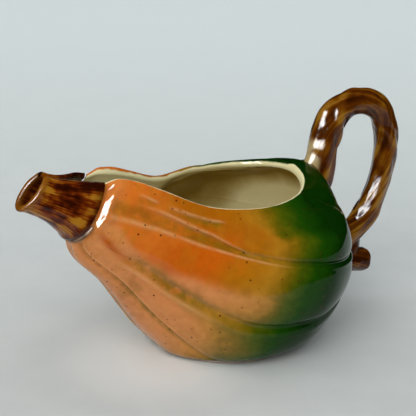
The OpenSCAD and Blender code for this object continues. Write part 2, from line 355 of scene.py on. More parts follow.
# Where the airbrushed green is half way: [angle from the top, section]
GREEN_LINE = [(0, 4.15), (36, 4.15), (46, 4.18), (54, 4.2), (63, 4.65), (75, 4.56), (87, 4.48), (96, 4.34),
              (105, 4.34), (113, 4.15), (120, 4.0), (129, 4.1), (150, 3.95), (180, 3.8)]
# Where the painted reflection of the table top on the lower lobes begins: [section, angle from the top]
TABLE_REFLECTION_LINE = [(1.2, 92), (1.5, 100), (1.75, 106), (2.1, 112), (2.5, 111), (2.9, 105), (3.5, 103), (4.0, 99)]
# What the gourd's glaze reads at each point, besides its place on the surface in "flow"
GOURD_MARKS = ("inside", "ripe", "deep", "thin", "below", "toast", "tan", "pale")


def bowl_rows():
    """The sections of the rows of points, crowded towards the mouth's end and the scar."""
    t = np.arange(ROWS_OPEN + 1) / ROWS_OPEN
    u_open = MOUTH_END * (1 - (1 - t) ** 1.5)
    k = np.arange(1, ROWS_CLOSED + 1) / ROWS_CLOSED
    u_closed = BLOSSOM_SCAR - (BLOSSOM_SCAR - MOUTH_END) * (1 - k) ** 1.35
    return np.concatenate([u_open, u_closed])


def bowl_faces(rows, u, v):
    """The outer and inner face, and the marks that the outer face's detail leaves in the glaze."""
    s = bowl_centres(u)
    outer = bowl_surface(u, v)
    inner = bowl_surface(u, v, WALL)
    out, deep, thin = gourd_detail(u, v, outer)
    # The detail dies down towards the rim.
    near_edge = np.radians(from_top_of(v) - mouth_half_angle(rows)[:, None]) * s[..., 4]
    settle = np.ones_like(out)
    settle[:RIM] = step(near_edge[:RIM], 0, 4)
    outer = outer + normals_of(outer, middle_of(s)) * (out * (0.35 + 0.65 * settle))[..., None]
    inner = inner + normals_of(inner, middle_of(s)) * (0.25 * wobble(inner, 20, 3))[..., None]
    return outer, inner, deep, thin


def gourd_paint(u, v):
    """Where each colour of the glaze lies: marks for the outer face, and the share of green stain."""
    from_top = from_top_of(v)
    ripe = u - np.interp(from_top, *zip(*GREEN_LINE)) + 0.32 * dimple(u, from_top)
    # The crease between the side and the underside is stained green ahead of the rest.
    stained = bell(from_top - 120.5 + 0.8 * u, 5.5) * step(u, 2.0, 2.7) * step(u, 4.4, 3.9)
    # The upper lobe is tanned. The lower lobes and the neck are painted paler: a painted reflection of the
    # pale table top.
    tan = step(u, 1.4, 2.8) * step(from_top, 80, 62)
    lobes_table_reflection = step(from_top - np.interp(u, *zip(*TABLE_REFLECTION_LINE)), -6, 4)
    neck_table_reflection = 0.5 * step(u, 1.3, 0.7)
    pale = np.maximum(lobes_table_reflection, neck_table_reflection) * (1 - 0.6 * stained)
    # A toasted streak of orange glaze lies below the near shoulder.
    toast = bell(u - 1.2, 0.6) * bell(v - 246.5 + 12 * (u - 1.25), 4.6)
    flow = np.stack([u * SECTION_LENGTH, np.radians(v) * 50, 0 * u], -1)
    return {"ripe": ripe, "toast": toast, "tan": tan, "pale": pale, "flow": flow}, stained


def along_rim(grid):
    """A grid's values along the far edge to the mouth's rear end, and back along the near edge."""
    return np.concatenate([grid[:RIM, 0], grid[: RIM - 1, -1][::-1]])


def lip_of(values):
    """The rim's values, the same all the way across the lip."""
    return np.repeat(along_rim(values)[:, None], LIP_STEPS, 1)


def rolled_lip(outer, inner, u):
    """The lip's points, and how far each one is on the way to the inner face's cream glaze."""
    edge_out, edge_in = along_rim(outer), along_rim(inner)
    middle, across = (edge_out + edge_in) / 2, (edge_out - edge_in) / 2
    away = unit(np.cross(np.gradient(middle, axis=0), across))
    outward = edge_out - np.concatenate([outer[:RIM, 3], outer[: RIM - 1, -4][::-1]])
    away = away * np.sign((away * outward).sum(-1, keepdims=True))
    t = np.linspace(0, np.pi, LIP_STEPS)
    wide = np.sign(np.cos(t)) * np.abs(np.cos(t)) ** 0.8
    tall = np.sin(t) ** 0.8
    # The far rim stands a little prouder than the near one.
    bulge = LIP_BULGE + FAR_LIP_EXTRA * step(middle[:, 1], 0, 34) * step(along_rim(u), 1.8, 3.0)
    rise = away[:, None] * (bulge[:, None] * tall[None])[..., None]
    lip = middle[:, None] + across[:, None] * wide[None, :, None] + rise
    # On the far side the outer glaze runs up to the lip's crest, and on the near side it stops below it,
    #     so the cream line along the near crest is partly the glaze and partly a painted highlight.
    overrun = -0.08 - 0.58 * step(middle[:, 1:2], 4, -4)
    return lip, np.linspace(0, 1, LIP_STEPS)[None, :] * 1.6 - overrun


def depth_in_bowl(inner, u):
    """How deep in the bowl's shade each inner point lies: its distance from the rim, less in front."""
    below = np.min([np.linalg.norm(inner - p, axis=-1) for p in along_rim(inner)[::2]], axis=0)
    return below * step(u, 1.2, 2.2) * (0.45 + 0.6 * step(inner[..., 0], 25, 56))


def marked(grid, **marks):
    """A grid with every mark of the gourd's glaze: 0 all over where none is given."""
    plain = np.zeros(grid.shape[:2])
    values = {key: plain + marks.get(key, 0) for key in GOURD_MARKS}
    values["flow"] = marks.get("flow", np.zeros(grid.shape))
    return grid, values


def cap_of(ring):
    """A row of points at the ring's middle, and the ring itself."""
    return np.stack([np.broadcast_to(ring.mean(0), ring.shape), ring])


def build_bowl(material):
    rows = bowl_rows()
    v = np.array([column_angles(u) for u in rows])
    u = np.broadcast_to(rows[:, None], v.shape)
    outer, inner, deep, thin = bowl_faces(rows, u, v)
    paint, stained = gourd_paint(u, v)
    ripe, tan, pale, flow = (paint[key] for key in ("ripe", "tan", "pale", "flow"))
    lip, lip_inside = rolled_lip(outer, inner, u)
    grids = [
        marked(outer, deep=np.maximum(deep, 1.25 * stained), thin=thin, **paint),
        marked(inner, inside=2, below=depth_in_bowl(inner, u), ripe=ripe, tan=tan, pale=pale, flow=flow),
        marked(lip, inside=lip_inside, ripe=lip_of(ripe), tan=lip_of(tan), flow=lip_of(flow)),
        marked(np.stack([outer[0], inner[0]]), ripe=-3),
        marked(cap_of(outer[-1]), ripe=3, below=30),
        marked(cap_of(inner[-1]), ripe=3, below=30, inside=2),
    ]
    return new_piece("bowl", grids, material, "gourd_glaze", "gourd_bowl")


# ---- the spout ----

# Sections from the neck to the tip, with the bowl sections' columns
SPOUT_SECTIONS = [
    [-80, 82.5, 32, 14.8, 20.2, 15.4],
    [-85.5, 85.2, 34, 12.6, 18, 13],
    [-91, 88.2, 38, 10, 15, 10.8],
    [-98, 91.8, 42, 7.9, 12.3, 9.8],
    [-103.5, 95, 44, 7.1, 11.2, 10.2],
]
SPOUT_END = len(SPOUT_SECTIONS) - 1
# Half the slot's width at each section, and what its rounded edges add to it, in degrees from the top
SPOUT_SLOT_ANGLES = [36, 34, 31, 28, 27]
SLOT_EDGE = 3
# How much wider the far side of the slot is at the neck
FAR_SLOT_EXTRA = 5
SPOUT_WALL = 3.0
SPOUT_ROWS = 84
SPOUT_COLUMNS = 150
EDGE_STEPS = 9
# The stem's fibres are laid out over a tube of about this radius and this length per section.
STEM_RADIUS = 12
STEM_SECTION = 7


def rounded_edge(edge_out, edge_in, away, size):
    """A rounded edge from a line on the outer face to the line beside it on the inner face."""
    turn = np.linspace(0, np.pi, EDGE_STEPS)
    middle, across = (edge_out + edge_in) / 2, (edge_out - edge_in) / 2
    return (middle[:, None] + across[:, None] * np.cos(turn)[None, :, None]
            + away[:, None] * (size * np.sin(turn))[None, :, None])


def trough_edges(outer, inner, slot_round, tip_round, base_round):
    """The rounded edges of a trough: along its slot, and round its tip and its base."""
    edges = {}
    for name, side, nearby in (("far_slot", 0, 2), ("near_slot", -1, -3)):
        away = unit(outer[:, side] - outer[:, nearby])
        edges[name] = rounded_edge(outer[:, side], inner[:, side], away, slot_round)
    for name, end, nearby, size in (("tip", -1, -3, tip_round), ("base", 0, 2, base_round)):
        away = unit((outer[end] + inner[end]) - (outer[nearby] + inner[nearby]))
        edges[name] = rounded_edge(outer[end], inner[end], away, size)
    return edges


def spout_faces(u, v):
    """The spout's outer and inner face, and how far its fibres stand out at each point."""
    s = curve(SPOUT_SECTIONS, u)
    outer = section_points(s, v, 0)
    inner = section_points(s, v, SPOUT_WALL)
    turn = np.radians(v)
    tube = np.stack([np.cos(turn) * 9, np.sin(turn) * 9, u * 1.6], -1)
    grain = wobble(tube, 3.2, 4) + 0.55 * wobble(tube, 1.5, 5)
    fibres = grain * step(u, 0.1, 0.6) * (1 - step(u, 3.5, 3.9))
    from_bottom = np.abs(v - 180)
    flare = 0.35 * bell(u - SPOUT_END, 0.2)
    rolled = flare * step(from_bottom, 150, 105) + 0.3 * wobble(outer, 4, 31) * bell(u - SPOUT_END, 0.5)
    out = (0.38 * fibres + rolled - 0.25 * bell(u - 3.5, 0.25)
           + 0.7 * step(from_bottom, 100, 60) * bell(u - 0.2, 0.25) + 0.3 * wobble(outer, 8, 6))
    outer = outer + normals_of(outer, middle_of(s)) * out[..., None]
    inner = inner + normals_of(inner, middle_of(s)) * (0.3 * wobble(tube, 2.5, 7) + flare)[..., None]
    return outer, inner, fibres


def stem_marks(u, turn, inside, deep=0, slot_edge_and_highlight=0, layer=0):
    """What the bark's glaze reads. inside is 0 on the outer face and 1 on the inner one, and layer sets
    their fibres apart."""
    plain = 0 * inside
    return {
        "inside": inside, "deep": plain + deep, "lip": plain + bell(u - SPOUT_END, 0.16),
        "base": bell(u, 0.35) * (1 - inside), "slot_edge_and_highlight": plain + slot_edge_and_highlight,
        "flow": np.stack([plain - u * STEM_SECTION, plain + turn * STEM_RADIUS, plain + layer], -1),
    }


def stem_edge_marks(name, u, turn):
    """The marks of a rounded edge, whose columns go from the outer to the inner face."""
    if name.endswith("slot"):
        place, around = u[:, :1], turn[:, :1]
    else:
        end = -1 if name == "tip" else 0
        place, around = u[end][:, None], turn[end][:, None]
    inside = np.linspace(0, 1, EDGE_STEPS)[None, :] + 0 * place
    # Only the near slot's edge is paler: the glaze's pale edge, with a painted highlight along it
    return stem_marks(place, around, inside, slot_edge_and_highlight=np.sin(np.pi * inside) * (name == "near_slot"))


def build_spout(material):
    u = np.broadcast_to(np.linspace(0, SPOUT_END, SPOUT_ROWS)[:, None], (SPOUT_ROWS, SPOUT_COLUMNS))
    edge = curve_1d(SPOUT_SLOT_ANGLES, u) + SLOT_EDGE
    far_edge = edge + FAR_SLOT_EXTRA * (1 - step(u, 0, 1.3))
    v = far_edge + (360 - edge - far_edge) * np.linspace(0, 1, SPOUT_COLUMNS)[None, :]
    turn = np.radians(v)
    outer, inner, fibres = spout_faces(u, v)
    grids = [(outer, stem_marks(u, turn, 0 * u, -fibres)), (inner, stem_marks(u, turn, 0 * u + 1, layer=30))]
    edges = trough_edges(outer, inner, slot_round=0.9, tip_round=1.2, base_round=0.7)
    for name, grid in edges.items():
        grids.append((grid, stem_edge_marks(name, u, turn)))
    return new_piece("spout", grids, material, "bark_glaze", "stem_spout")


# ---- the vine ----

VINE_RADIUS = 6.6
TWIG_RADIUS = 6.2
# Paths in the mirror plane: [x, z, share of the radius]
VINE_PATH = [
    [50, 66, 1.3], [54, 77, 1.18], [56.5, 90, 1.12], [61.5, 102, 1.14], [72, 108.5, 1.04],
    [84, 107, 0.98], [92.5, 99.5, 0.95], [96, 86, 0.94], [94.5, 70.5, 0.92], [89, 55, 0.89],
    [81, 43.5, 0.91], [71, 35.5, 0.93], [58, 29, 0.94],
]
TAIL_PATH = [[78, 41, 0.55], [77, 33, 0.62], [75.5, 25, 0.58], [73, 17, 0.42]]
TWIG_PATH = [[54, 25, 0.9], [65, 23.7, 0.94], [76, 22.3, 0.96], [83.6, 21.2, 1], [85, 21, 0.9]]
# How fast the streaks of the glaze wind round the vine, in radians per millimetre
STREAK_TWIST = 0.045
# Ridges that wind round the vine: [first section, last section, angle at the first in degrees]
VINE_RIDGES = [(0.8, 4.6, 80), (6.2, 10.2, 200)]
RIDGE_SWEEP = np.radians(330)
# Knots: [section, angle in degrees, height]. The last one is the upper root's flare, towards the mouth.
VINE_KNOTS = [(3.15, 0, 1.0), (1.9, 200, 0.8), (7.1, 60, 0.7), (9.6, 330, 0.9), (0.95, 0, 2.0)]
# A tube's end closes in rings at these shares of its radius. Its edge is rounded from EDGE_STARTS on.
CAP_SHARES = np.array([1, 0.985, 0.95, 0.9, 0.6, 0.25, 0.0])
EDGE_STARTS = 0.9
# The middle of the gourd, and how deep beneath its surface the pieces that are luted to it may run
GOURD_MIDDLE = Vector((0, 0, 45))
TUCK_DEPTH = 1.3


def gourd_tree():
    """The gourd's outer surface behind the mouth, for finding the nearest place on it."""
    rows = np.linspace(MOUTH_END + 0.05, BLOSSOM_SCAR, 40)
    u, v = np.meshgrid(rows, np.linspace(0, 360, 181), indexing="ij")
    grid = bowl_surface(u, v)
    return BVHTree.FromPolygons(grid.reshape(-1, 3).tolist(), grid_faces(*u.shape).tolist())


def tucked(points, tree):
    """Points that lie deep inside the gourd's wall are brought up to just beneath its outer surface."""
    moved = points.reshape(-1, 3).copy()
    for i, p in enumerate(moved):
        p = Vector(p)
        nearest, normal, _, _ = tree.find_nearest(p)
        outward = normal if normal.dot(nearest - GOURD_MIDDLE) > 0 else -normal
        if (nearest - p).dot(outward) > TUCK_DEPTH:
            moved[i] = nearest - outward * TUCK_DEPTH
    return moved.reshape(points.shape)


def closed_end(ring, forward, cap, tree):
    """Rings that close a tube's end over an edge rounded by the cap's size, in the forward direction."""
    centre = ring[:-1].mean(0)
    past_edge = np.clip((CAP_SHARES - EDGE_STARTS) / (1 - EDGE_STARTS), 0, 1)
    rise = cap * np.sqrt(np.clip(1 - past_edge ** 2, 0, 1))
    rings = centre + (ring - centre)[None] * CAP_SHARES[:, None, None] + forward * rise[:, None, None]
    return tucked(rings, tree)


def around_path(path, radius, rings, sides, detail, cap=0.6):
    """A tube round a path in the mirror plane, with two rounded ends. detail(u, turn, points) gives how
    far it stands out from round, in millimetres."""
    last = len(path) - 1
    u = np.linspace(0, last, rings)
    p = curve(path, u)
    ahead, behind = curve(path, np.minimum(u + 0.05, last)), curve(path, np.maximum(u - 0.05, 0))
    heading = unit((ahead - behind)[:, :2])
    turn = np.linspace(0, 2 * np.pi, sides)[None, :] + 0 * u[:, None]
    r = p[:, 2:3] * radius + 0 * turn

    def place(r):
        side, forward = r * np.cos(turn), heading[:, None]
        return np.stack([p[:, None, 0] - side * forward[..., 1], r * np.sin(turn),
                         p[:, None, 1] + side * forward[..., 0]], -1)

    out = detail(u[:, None] + 0 * turn, turn, place(r))
    grid = place(r + out)
    lengths = np.concatenate([[0], np.cumsum(np.linalg.norm(np.diff(p[:, :2], axis=0), axis=1))])
    wound = turn + STREAK_TWIST * lengths[:, None]
    flow = np.stack([lengths[:, None] + 0 * turn, np.cos(wound) * radius, np.sin(wound) * radius], -1)
    tree = gourd_tree()
    ends = []
    for end, sign in ((0, -1), (-1, 1)):
        forward = np.array([heading[end, 0], 0, heading[end, 1]]) * sign
        ends.append(closed_end(grid[end], forward, cap, tree))
    return tucked(grid, tree), out, flow, u, turn, ends


def beside(turn, angle):
    """Distance round the vine from an angle, in millimetres."""
    return ((turn - angle + np.pi) % (2 * np.pi) - np.pi) * VINE_RADIUS


def vine_detail(u, turn, points):
    out = 0.3 * np.cos(5 * turn + np.radians(200) * u / 12)
    out = out + 0.8 * wobble(points, 12, 8) + 0.22 * wobble(points, 6, 9)
    for start, end, first in VINE_RIDGES:
        d = beside(turn, np.radians(first) + RIDGE_SWEEP * (u - start) / (end - start))
        there = step(u, start - 0.3, start + 0.3) * (1 - step(u, end - 0.3, end + 0.3))
        out = out + there * (0.5 * bell(d, 2.8) - 0.4 * bell(d - 4.4, 2.0) - 0.2 * bell(d + 4.2, 2.0))
    for section, angle, height in VINE_KNOTS:
        out = out + height * bell(beside(turn, np.radians(angle)), 4.5) * bell((u - section) * 12, 5.5)
    return out


def tube_grids(grid, ends, marks, end_marks):
    """The grids of a tube and its two ends, with the given marks. Each end has the flow of its last ring."""
    grids = [(grid, marks)]
    for rings, end in zip(ends, (0, -1)):
        values = {key: np.full(rings.shape[:2], float(value)) for key, value in end_marks.items()}
        values["flow"] = np.repeat(marks["flow"][end][None], len(rings), 0)
        grids.append((rings, values))
    return grids


def build_vine(material):
    grid, out, flow, u, turn, ends = around_path(VINE_PATH, VINE_RADIUS, 330, 73, vine_detail)
    # The glaze is worn to bare clay in a patch above the upper root, on the side of the spout.
    toward_spout = np.cos(turn)
    patch = (step(bell(u[:, None] - 1.5, 0.62), 0.25, 0.7) * step(toward_spout, 0.5, 0.85)
             * step(wobble(grid, 6, 12), -0.45, 0.0))
    marks = {"deep": -out, "patch": patch, "flow": flow}
    grids = tube_grids(grid, ends, marks, {"deep": 0, "patch": 0})
    return new_piece("vine", grids, material, "bark_glaze", "vine_handle")


def rough_tube(name, path, radius, material, node, rings, seed, cap, darker):
    """A short piece of vine with uneven bark, whose glaze is as dark as in a groove of the depth darker."""
    def detail(u, turn, points):
        lumps = 0.35 * wobble(points, 6, seed) + 0.175 * wobble(points, 2.5, seed + 1)
        return 0.2 * np.cos(5 * turn + u) + lumps

    grid, out, flow, _, _, ends = around_path(path, radius, rings, 61, detail, cap)
    marks = {"deep": darker - out, "patch": np.zeros(grid.shape[:2]), "flow": flow + 200}
    grids = tube_grids(grid, ends, marks, {"deep": darker, "patch": 0})
    return new_piece(name, grids, material, "bark_glaze", node)


# ---- slip beads and foot ----


def bead_ring(name, line, radius, closed, seed, material, node):
    """A smeared bead of slip along a line of points."""
    line = np.asarray(line, float)
    if closed:
        tangent = np.roll(line, -1, 0) - np.roll(line, 1, 0)
        tangent[-1] = tangent[0] = line[1] - line[-2]
    else:
        tangent = np.gradient(line, axis=0)
    tangent = unit(tangent)
    side = unit(np.cross(tangent, [0.3, 0.2, 0.93]))
    up = np.cross(side, tangent)
    turn = np.linspace(0, 2 * np.pi, 17)
    rough = radius * (1 + 0.15 * wobble(line, 5, seed))[:, None]
    if closed:
        rough[-1] = rough[0]
    else:
        # The bead runs out at its ends.
        rough = rough * np.sqrt(np.clip(1 - np.abs(np.linspace(-1, 1, len(line))) ** 8, 0.0, 1))[:, None]
    grid = (line[:, None] + side[:, None] * (rough * np.cos(turn))[..., None]
            + up[:, None] * (rough * np.sin(turn))[..., None])
    values = {"deep": 0.3 * wobble(grid, 2, seed), "patch": np.zeros(grid.shape[:2]), "flow": grid}
    return new_piece(name, [(grid, values)], material, "slip", node)


# The handle's roots: where the upper one meets the gourd, as [section, half its length in sections], and
# the middle of the lower one in the mirror plane, with its slope in degrees
UPPER_ROOT = (6.92, 0.42)
LOWER_ROOT = (62.3, 32.4)
LOWER_ROOT_SLOPE = 71
# The seam under the spout: the angles from the top that it runs between, and its place past the neck
SEAM_ANGLES = (104, 256)
SEAM_SHIFT = 1.2


def upper_root_line(turn):
    u = UPPER_ROOT[0] + UPPER_ROOT[1] * np.cos(turn)
    half_width = bowl_centres(u)[:, 3]
    v = np.degrees(np.arcsin(1.4 * VINE_RADIUS * np.sin(turn) / half_width)) % 360
    return bowl_surface(u, v)


def lower_root_line(turn):
    along, across = 1.12 * VINE_RADIUS * np.cos(turn), 1.05 * VINE_RADIUS * np.sin(turn)
    slope = np.radians(LOWER_ROOT_SLOPE)
    x, z = LOWER_ROOT
    return np.stack([x + along * np.cos(slope), across, z + along * np.sin(slope)], -1)


def seam_line():
    neck = np.array(BOWL_SECTIONS[0], float)
    lean = np.radians(neck[2])
    angles = np.linspace(*SEAM_ANGLES, 81)
    line = section_points(np.broadcast_to(neck, (len(angles), len(neck))), angles, -0.3)
    return line + SEAM_SHIFT * np.array([np.cos(lean), 0, -np.sin(lean)])


def build_beads(material, seam_material):
    turn = np.linspace(0, 2 * np.pi, 121)
    bead_ring("upper_bead", upper_root_line(turn), 1.1, True, 21, material, "upper_root_bead")
    bead_ring("lower_bead", lower_root_line(turn), 1.2, True, 22, material, "lower_root_bead")
    bead_ring("seam_bead", seam_line(), 0.8, False, 23, seam_material, "spout_seam")


FOOT_OUTER = 36.0
FOOT_INNER = 31.0
FOOT_ROUND = 0.4


def build_foot(material):
    """The trimmed ring: a turned profile, closed and with rounded lower edges."""
    corner = np.linspace(0, np.pi / 2, 5)
    wide, narrow = FOOT_OUTER - FOOT_ROUND, FOOT_INNER + FOOT_ROUND
    profile = [(FOOT_OUTER, FOOT_HEIGHT)]
    profile += [(wide + FOOT_ROUND * np.cos(a), FOOT_ROUND * (1 - np.sin(a))) for a in corner]
    profile += [(wide + (narrow - wide) * k / 8, 0.0) for k in range(1, 8)]
    profile += [(narrow - FOOT_ROUND * np.sin(a), FOOT_ROUND * (1 - np.cos(a))) for a in corner]
    profile += [(FOOT_INNER, FOOT_HEIGHT), (FOOT_OUTER, FOOT_HEIGHT)]
    grid = revolved(profile, 241)
    return new_piece("foot", [(grid, {"flow": grid})], material, "bare_clay", "foot_ring")


# ---- materials ----


class Look:
    """A node material built in a few words."""

    def __init__(self, name):
        self.material = bpy.data.materials.new(name)
        self.material.use_nodes = True
        self.tree = self.material.node_tree
        self.shader = self.tree.nodes["Principled BSDF"]

    def put(self, socket, value):
        if isinstance(value, bpy.types.NodeSocket):
            self.tree.links.new(value, socket)
        elif isinstance(value, tuple) and len(value) == 3 and len(socket.default_value) == 4:
            socket.default_value = (*value, 1)
        else:
            socket.default_value = value

    def node(self, kind, inputs, **settings):
        """The outputs of a new node whose inputs, by name or number, have the given values or links."""
        made = self.tree.nodes.new("ShaderNode" + kind)
        for key, value in settings.items():
            setattr(made, key, value)
        for key, value in inputs.items():
            self.put(made.inputs[key], value)
        return made.outputs

    def math(self, operation, *values, kind="Math"):
        return self.node(kind, dict(enumerate(values)), operation=operation)["Value"]

    def product(self, first, *factors):
        for factor in factors:
            first = self.math("MULTIPLY", first, factor)
        return first

    def attribute(self, name, output="Fac"):
        return self.node("Attribute", {}, attribute_name=name)[output]

    def place(self):
        return self.node("TexCoord", {})["Object"]

    def scaled(self, vector, scale):
        return self.node("Mapping", {"Vector": vector, "Scale": scale})["Vector"]

    def noise(self, vector, scale, detail=3.0, roughness=0.55):
        inputs = {"Vector": vector, "Scale": scale, "Detail": detail, "Roughness": roughness}
        return self.node("TexNoise", inputs)["Fac"]

    def ramp(self, value, *stops):
        colour = self.node("ValToRGB", {0: value})["Color"]
        ramp = colour.node.color_ramp
        while len(ramp.elements) < len(stops):
            ramp.elements.new(0.5)
        for element, (place, shade) in zip(ramp.elements, stops):
            element.position = place
            element.color = (*shade, 1)
        return colour

    def range(self, value, low, high, to_low=0.0, to_high=1.0, kind="SMOOTHSTEP"):
        inputs = {"Value": value, "From Min": low, "From Max": high, "To Min": to_low, "To Max": to_high}
        return self.node("MapRange", inputs, interpolation_type=kind)["Result"]

    def linear(self, value, low, high):
        return self.range(value, low, high, kind="LINEAR")

    def mix(self, factor, first, second, blend="MIX"):
        inputs = {0: factor, 6: first, 7: second}
        return self.node("Mix", inputs, data_type="RGBA", blend_type=blend)[2]

    def bump(self, height, distance, strength=1.0, over=None):
        """Bumps, over those of another bump node if there is one."""
        inputs = {"Height": height, "Distance": distance, "Strength": strength}
        if over is not None:
            inputs["Normal"] = over
        return self.node("Bump", inputs)["Normal"]

    def set(self, **values):
        for key, value in values.items():
            self.put(self.shader.inputs[key.replace("_", " ")], value)


# The gourd's glaze, from the stem to the ripe end
PEACH = (0.68, 0.165, 0.016)
ORANGE = (0.57, 0.110, 0.004)
OCHRE = (0.42, 0.145, 0.004)
YELLOW = (0.42, 0.19, 0.012)
OLIVE = (0.16, 0.11, 0.003)
LEAF = (0.060, 0.088, 0.002)
GREEN = (0.010, 0.055, 0.001)
DEEP_GREEN = (0.003, 0.026, 0.0008)
# What lies over it
TAN = (0.37, 0.115, 0.003)
# A painted reflection of the pale table top, on the lower lobes and the neck
PAINTED_TABLE_REFLECTION = (0.66, 0.26, 0.080)
TOAST = (0.46, 0.085, 0.001)
# A thinner glaze on the ridges, with a painted highlight along them
RIDGE_GLAZE_AND_HIGHLIGHT = (0.74, 0.36, 0.14)
SCORCH = (0.22, 0.09, 0.004)
EARLY_STAIN = (0.42, 0.14, 0.01)
STAIN = (0.15, 0.125, 0.004)
GRAIN = (0.55, 0.10, 0.004)
SPECK = (0.09, 0.02, 0.004)
# The inside, in the light and in its shade
CREAM = (0.82, 0.73, 0.42)
CREAM_WALL = (0.50, 0.37, 0.135)
CREAM_SHADE = (0.25, 0.145, 0.005)


def sprayed_ripeness(look, where, mottle, fine):
    """The gourd's ripeness, with the uneven edge that an airbrush leaves."""
    cloud = look.noise(where, 22, 2)
    ripe = look.math("ADD", look.attribute("ripe"), look.range(cloud, 0.2, 0.8, -0.13, 0.13))
    ripe = look.math("ADD", ripe, look.range(mottle, 0.25, 0.75, -0.05, 0.05))
    return look.math("ADD", ripe, look.range(fine, 0.25, 0.75, -0.04, 0.04))


def outer_colour(look, where, fine, ripe):
    """The airbrushed colours of the outside, with the stains, a painted reflection of the table top, and the
    ridges' thinner glaze and painted highlight that lie over them on the orange side.
    """
    colour = look.ramp(look.linear(ripe, -2.4, 1.6), (0.0, PEACH), (0.16, ORANGE), (0.28, ORANGE),
                       (0.37, OCHRE), (0.45, YELLOW), (0.54, OLIVE), (0.60, LEAF), (0.68, GREEN),
                       (0.82, DEEP_GREEN))
    orange_side = look.range(ripe, -0.1, -1.1)
    # The pale mark is a painted reflection of the table top, laid over the orange side
    for mark, glaze in (("tan", TAN), ("pale", PAINTED_TABLE_REFLECTION)):
        colour = look.mix(look.product(look.attribute(mark), 0.85, orange_side), colour, glaze)
    gathered = look.range(look.attribute("deep"), 0.1, 1.2, 0, 0.68)
    gathered = look.product(gathered, look.range(fine, 0.25, 0.6, 0.3, 1), orange_side)
    stain = look.mix(look.range(look.attribute("ripe"), -2.6, -1.3), EARLY_STAIN, STAIN)
    colour = look.mix(gathered, colour, stain)
    colour = look.mix(look.range(fine, 0.3, 0.75, 0.0, 0.16), colour, GRAIN, "MULTIPLY")
    drips = look.noise(look.scaled(look.attribute("flow", "Vector"), (0.30, 0.05, 1.0)), 1.0, 3)
    colour = look.mix(look.product(look.range(drips, 0.45, 0.75, 0.0, 0.35), orange_side), colour, YELLOW)
    colour = look.mix(look.product(look.attribute("toast"), 0.95), colour, TOAST)
    scorched = look.range(look.noise(where, 75, 2), 0.56, 0.72, 0.0, 0.35)
    colour = look.mix(look.product(scorched, orange_side), colour, SCORCH)
    # Ridges are paler: a thinner glaze there, with a painted highlight along them
    thin = look.product(look.attribute("thin"), look.range(fine, 0.3, 0.6, 0.25, 0.6), orange_side)
    return look.mix(thin, colour, RIDGE_GLAZE_AND_HIGHLIGHT)


def specked(look, where, colour):
    """Specks of iron in the middle of some cells, and none in the others."""
    cells = look.node("TexVoronoi", {"Vector": where, "Scale": 300})
    chance = look.node("SeparateColor", {0: cells["Color"]})
    size = look.range(chance[0], 0.52, 0.62, 0.0, 0.15)
    speck = look.math("LESS_THAN", cells["Distance"], size)
    strength = look.range(chance[1], 0.0, 1.0, 0.35, 0.95)
    return look.mix(look.product(speck, strength), colour, SPECK)


def inner_colour(look, mottle):
    """The cream glaze, by how deep in the bowl's shade it lies."""
    below = look.math("ADD", look.attribute("below"), look.range(mottle, 0.2, 0.8, -1.5, 1.5))
    return look.ramp(look.linear(below, 0, 30), (0.0, CREAM), (0.05, CREAM), (0.13, CREAM_SHADE),
                     (0.40, CREAM_SHADE), (0.54, CREAM_WALL), (0.72, CREAM))


def glaze_of_gourd():
    look = Look("gourd_glaze")
    where = look.place()
    mottle = look.noise(where, 55, 3)
    fine = look.noise(where, 260, 2)
    ripe = sprayed_ripeness(look, where, mottle, fine)
    outside = specked(look, where, outer_colour(look, where, fine, ripe))
    inside = look.attribute("inside")
    edge = look.math("ADD", inside, look.range(look.noise(where, 120, 2), 0.2, 0.8, -0.10, 0.10))
    colour = look.mix(look.range(edge, 0.75, 0.95), outside, inner_colour(look, mottle))
    ripple = look.bump(look.noise(where, 70, 1), 0.0006, 0.35)
    peel = look.bump(look.noise(where, 420, 2), 0.00012, 0.35, ripple)
    # The green glaze and the cream glaze mirror less than the orange one.
    gloss = look.math("MINIMUM", look.range(ripe, -0.4, 0.3, 0.32, 0.13),
                      look.range(inside, 0.8, 1.6, 0.32, 0.12))
    look.set(Base_Color=colour, Roughness=look.range(fine, 0.2, 0.8, 0.03, 0.07), Normal=peel,
             Coat_Weight=0.10, Coat_Roughness=0.03, Specular_IOR_Level=gloss)
    return look.material


BARK_DARK = (0.024, 0.0033, 0.0004)
STEM_SHADES = (BARK_DARK, (0.115, 0.015, 0.0012), (0.21, 0.050, 0.003), (0.36, 0.15, 0.010))
VINE_SHADES = ((0.034, 0.007, 0.0006), (0.095, 0.022, 0.0010), (0.165, 0.053, 0.002), (0.29, 0.135, 0.014))
BARE_PATCH = (0.50, 0.38, 0.19)
CLAY_STAIN = (0.16, 0.09, 0.05)
CUT_LIP = (0.22, 0.075, 0.006)
# The near slot's pale glaze edge, with a painted highlight
SLOT_EDGE_GLAZE_AND_HIGHLIGHT = (0.46, 0.36, 0.21)


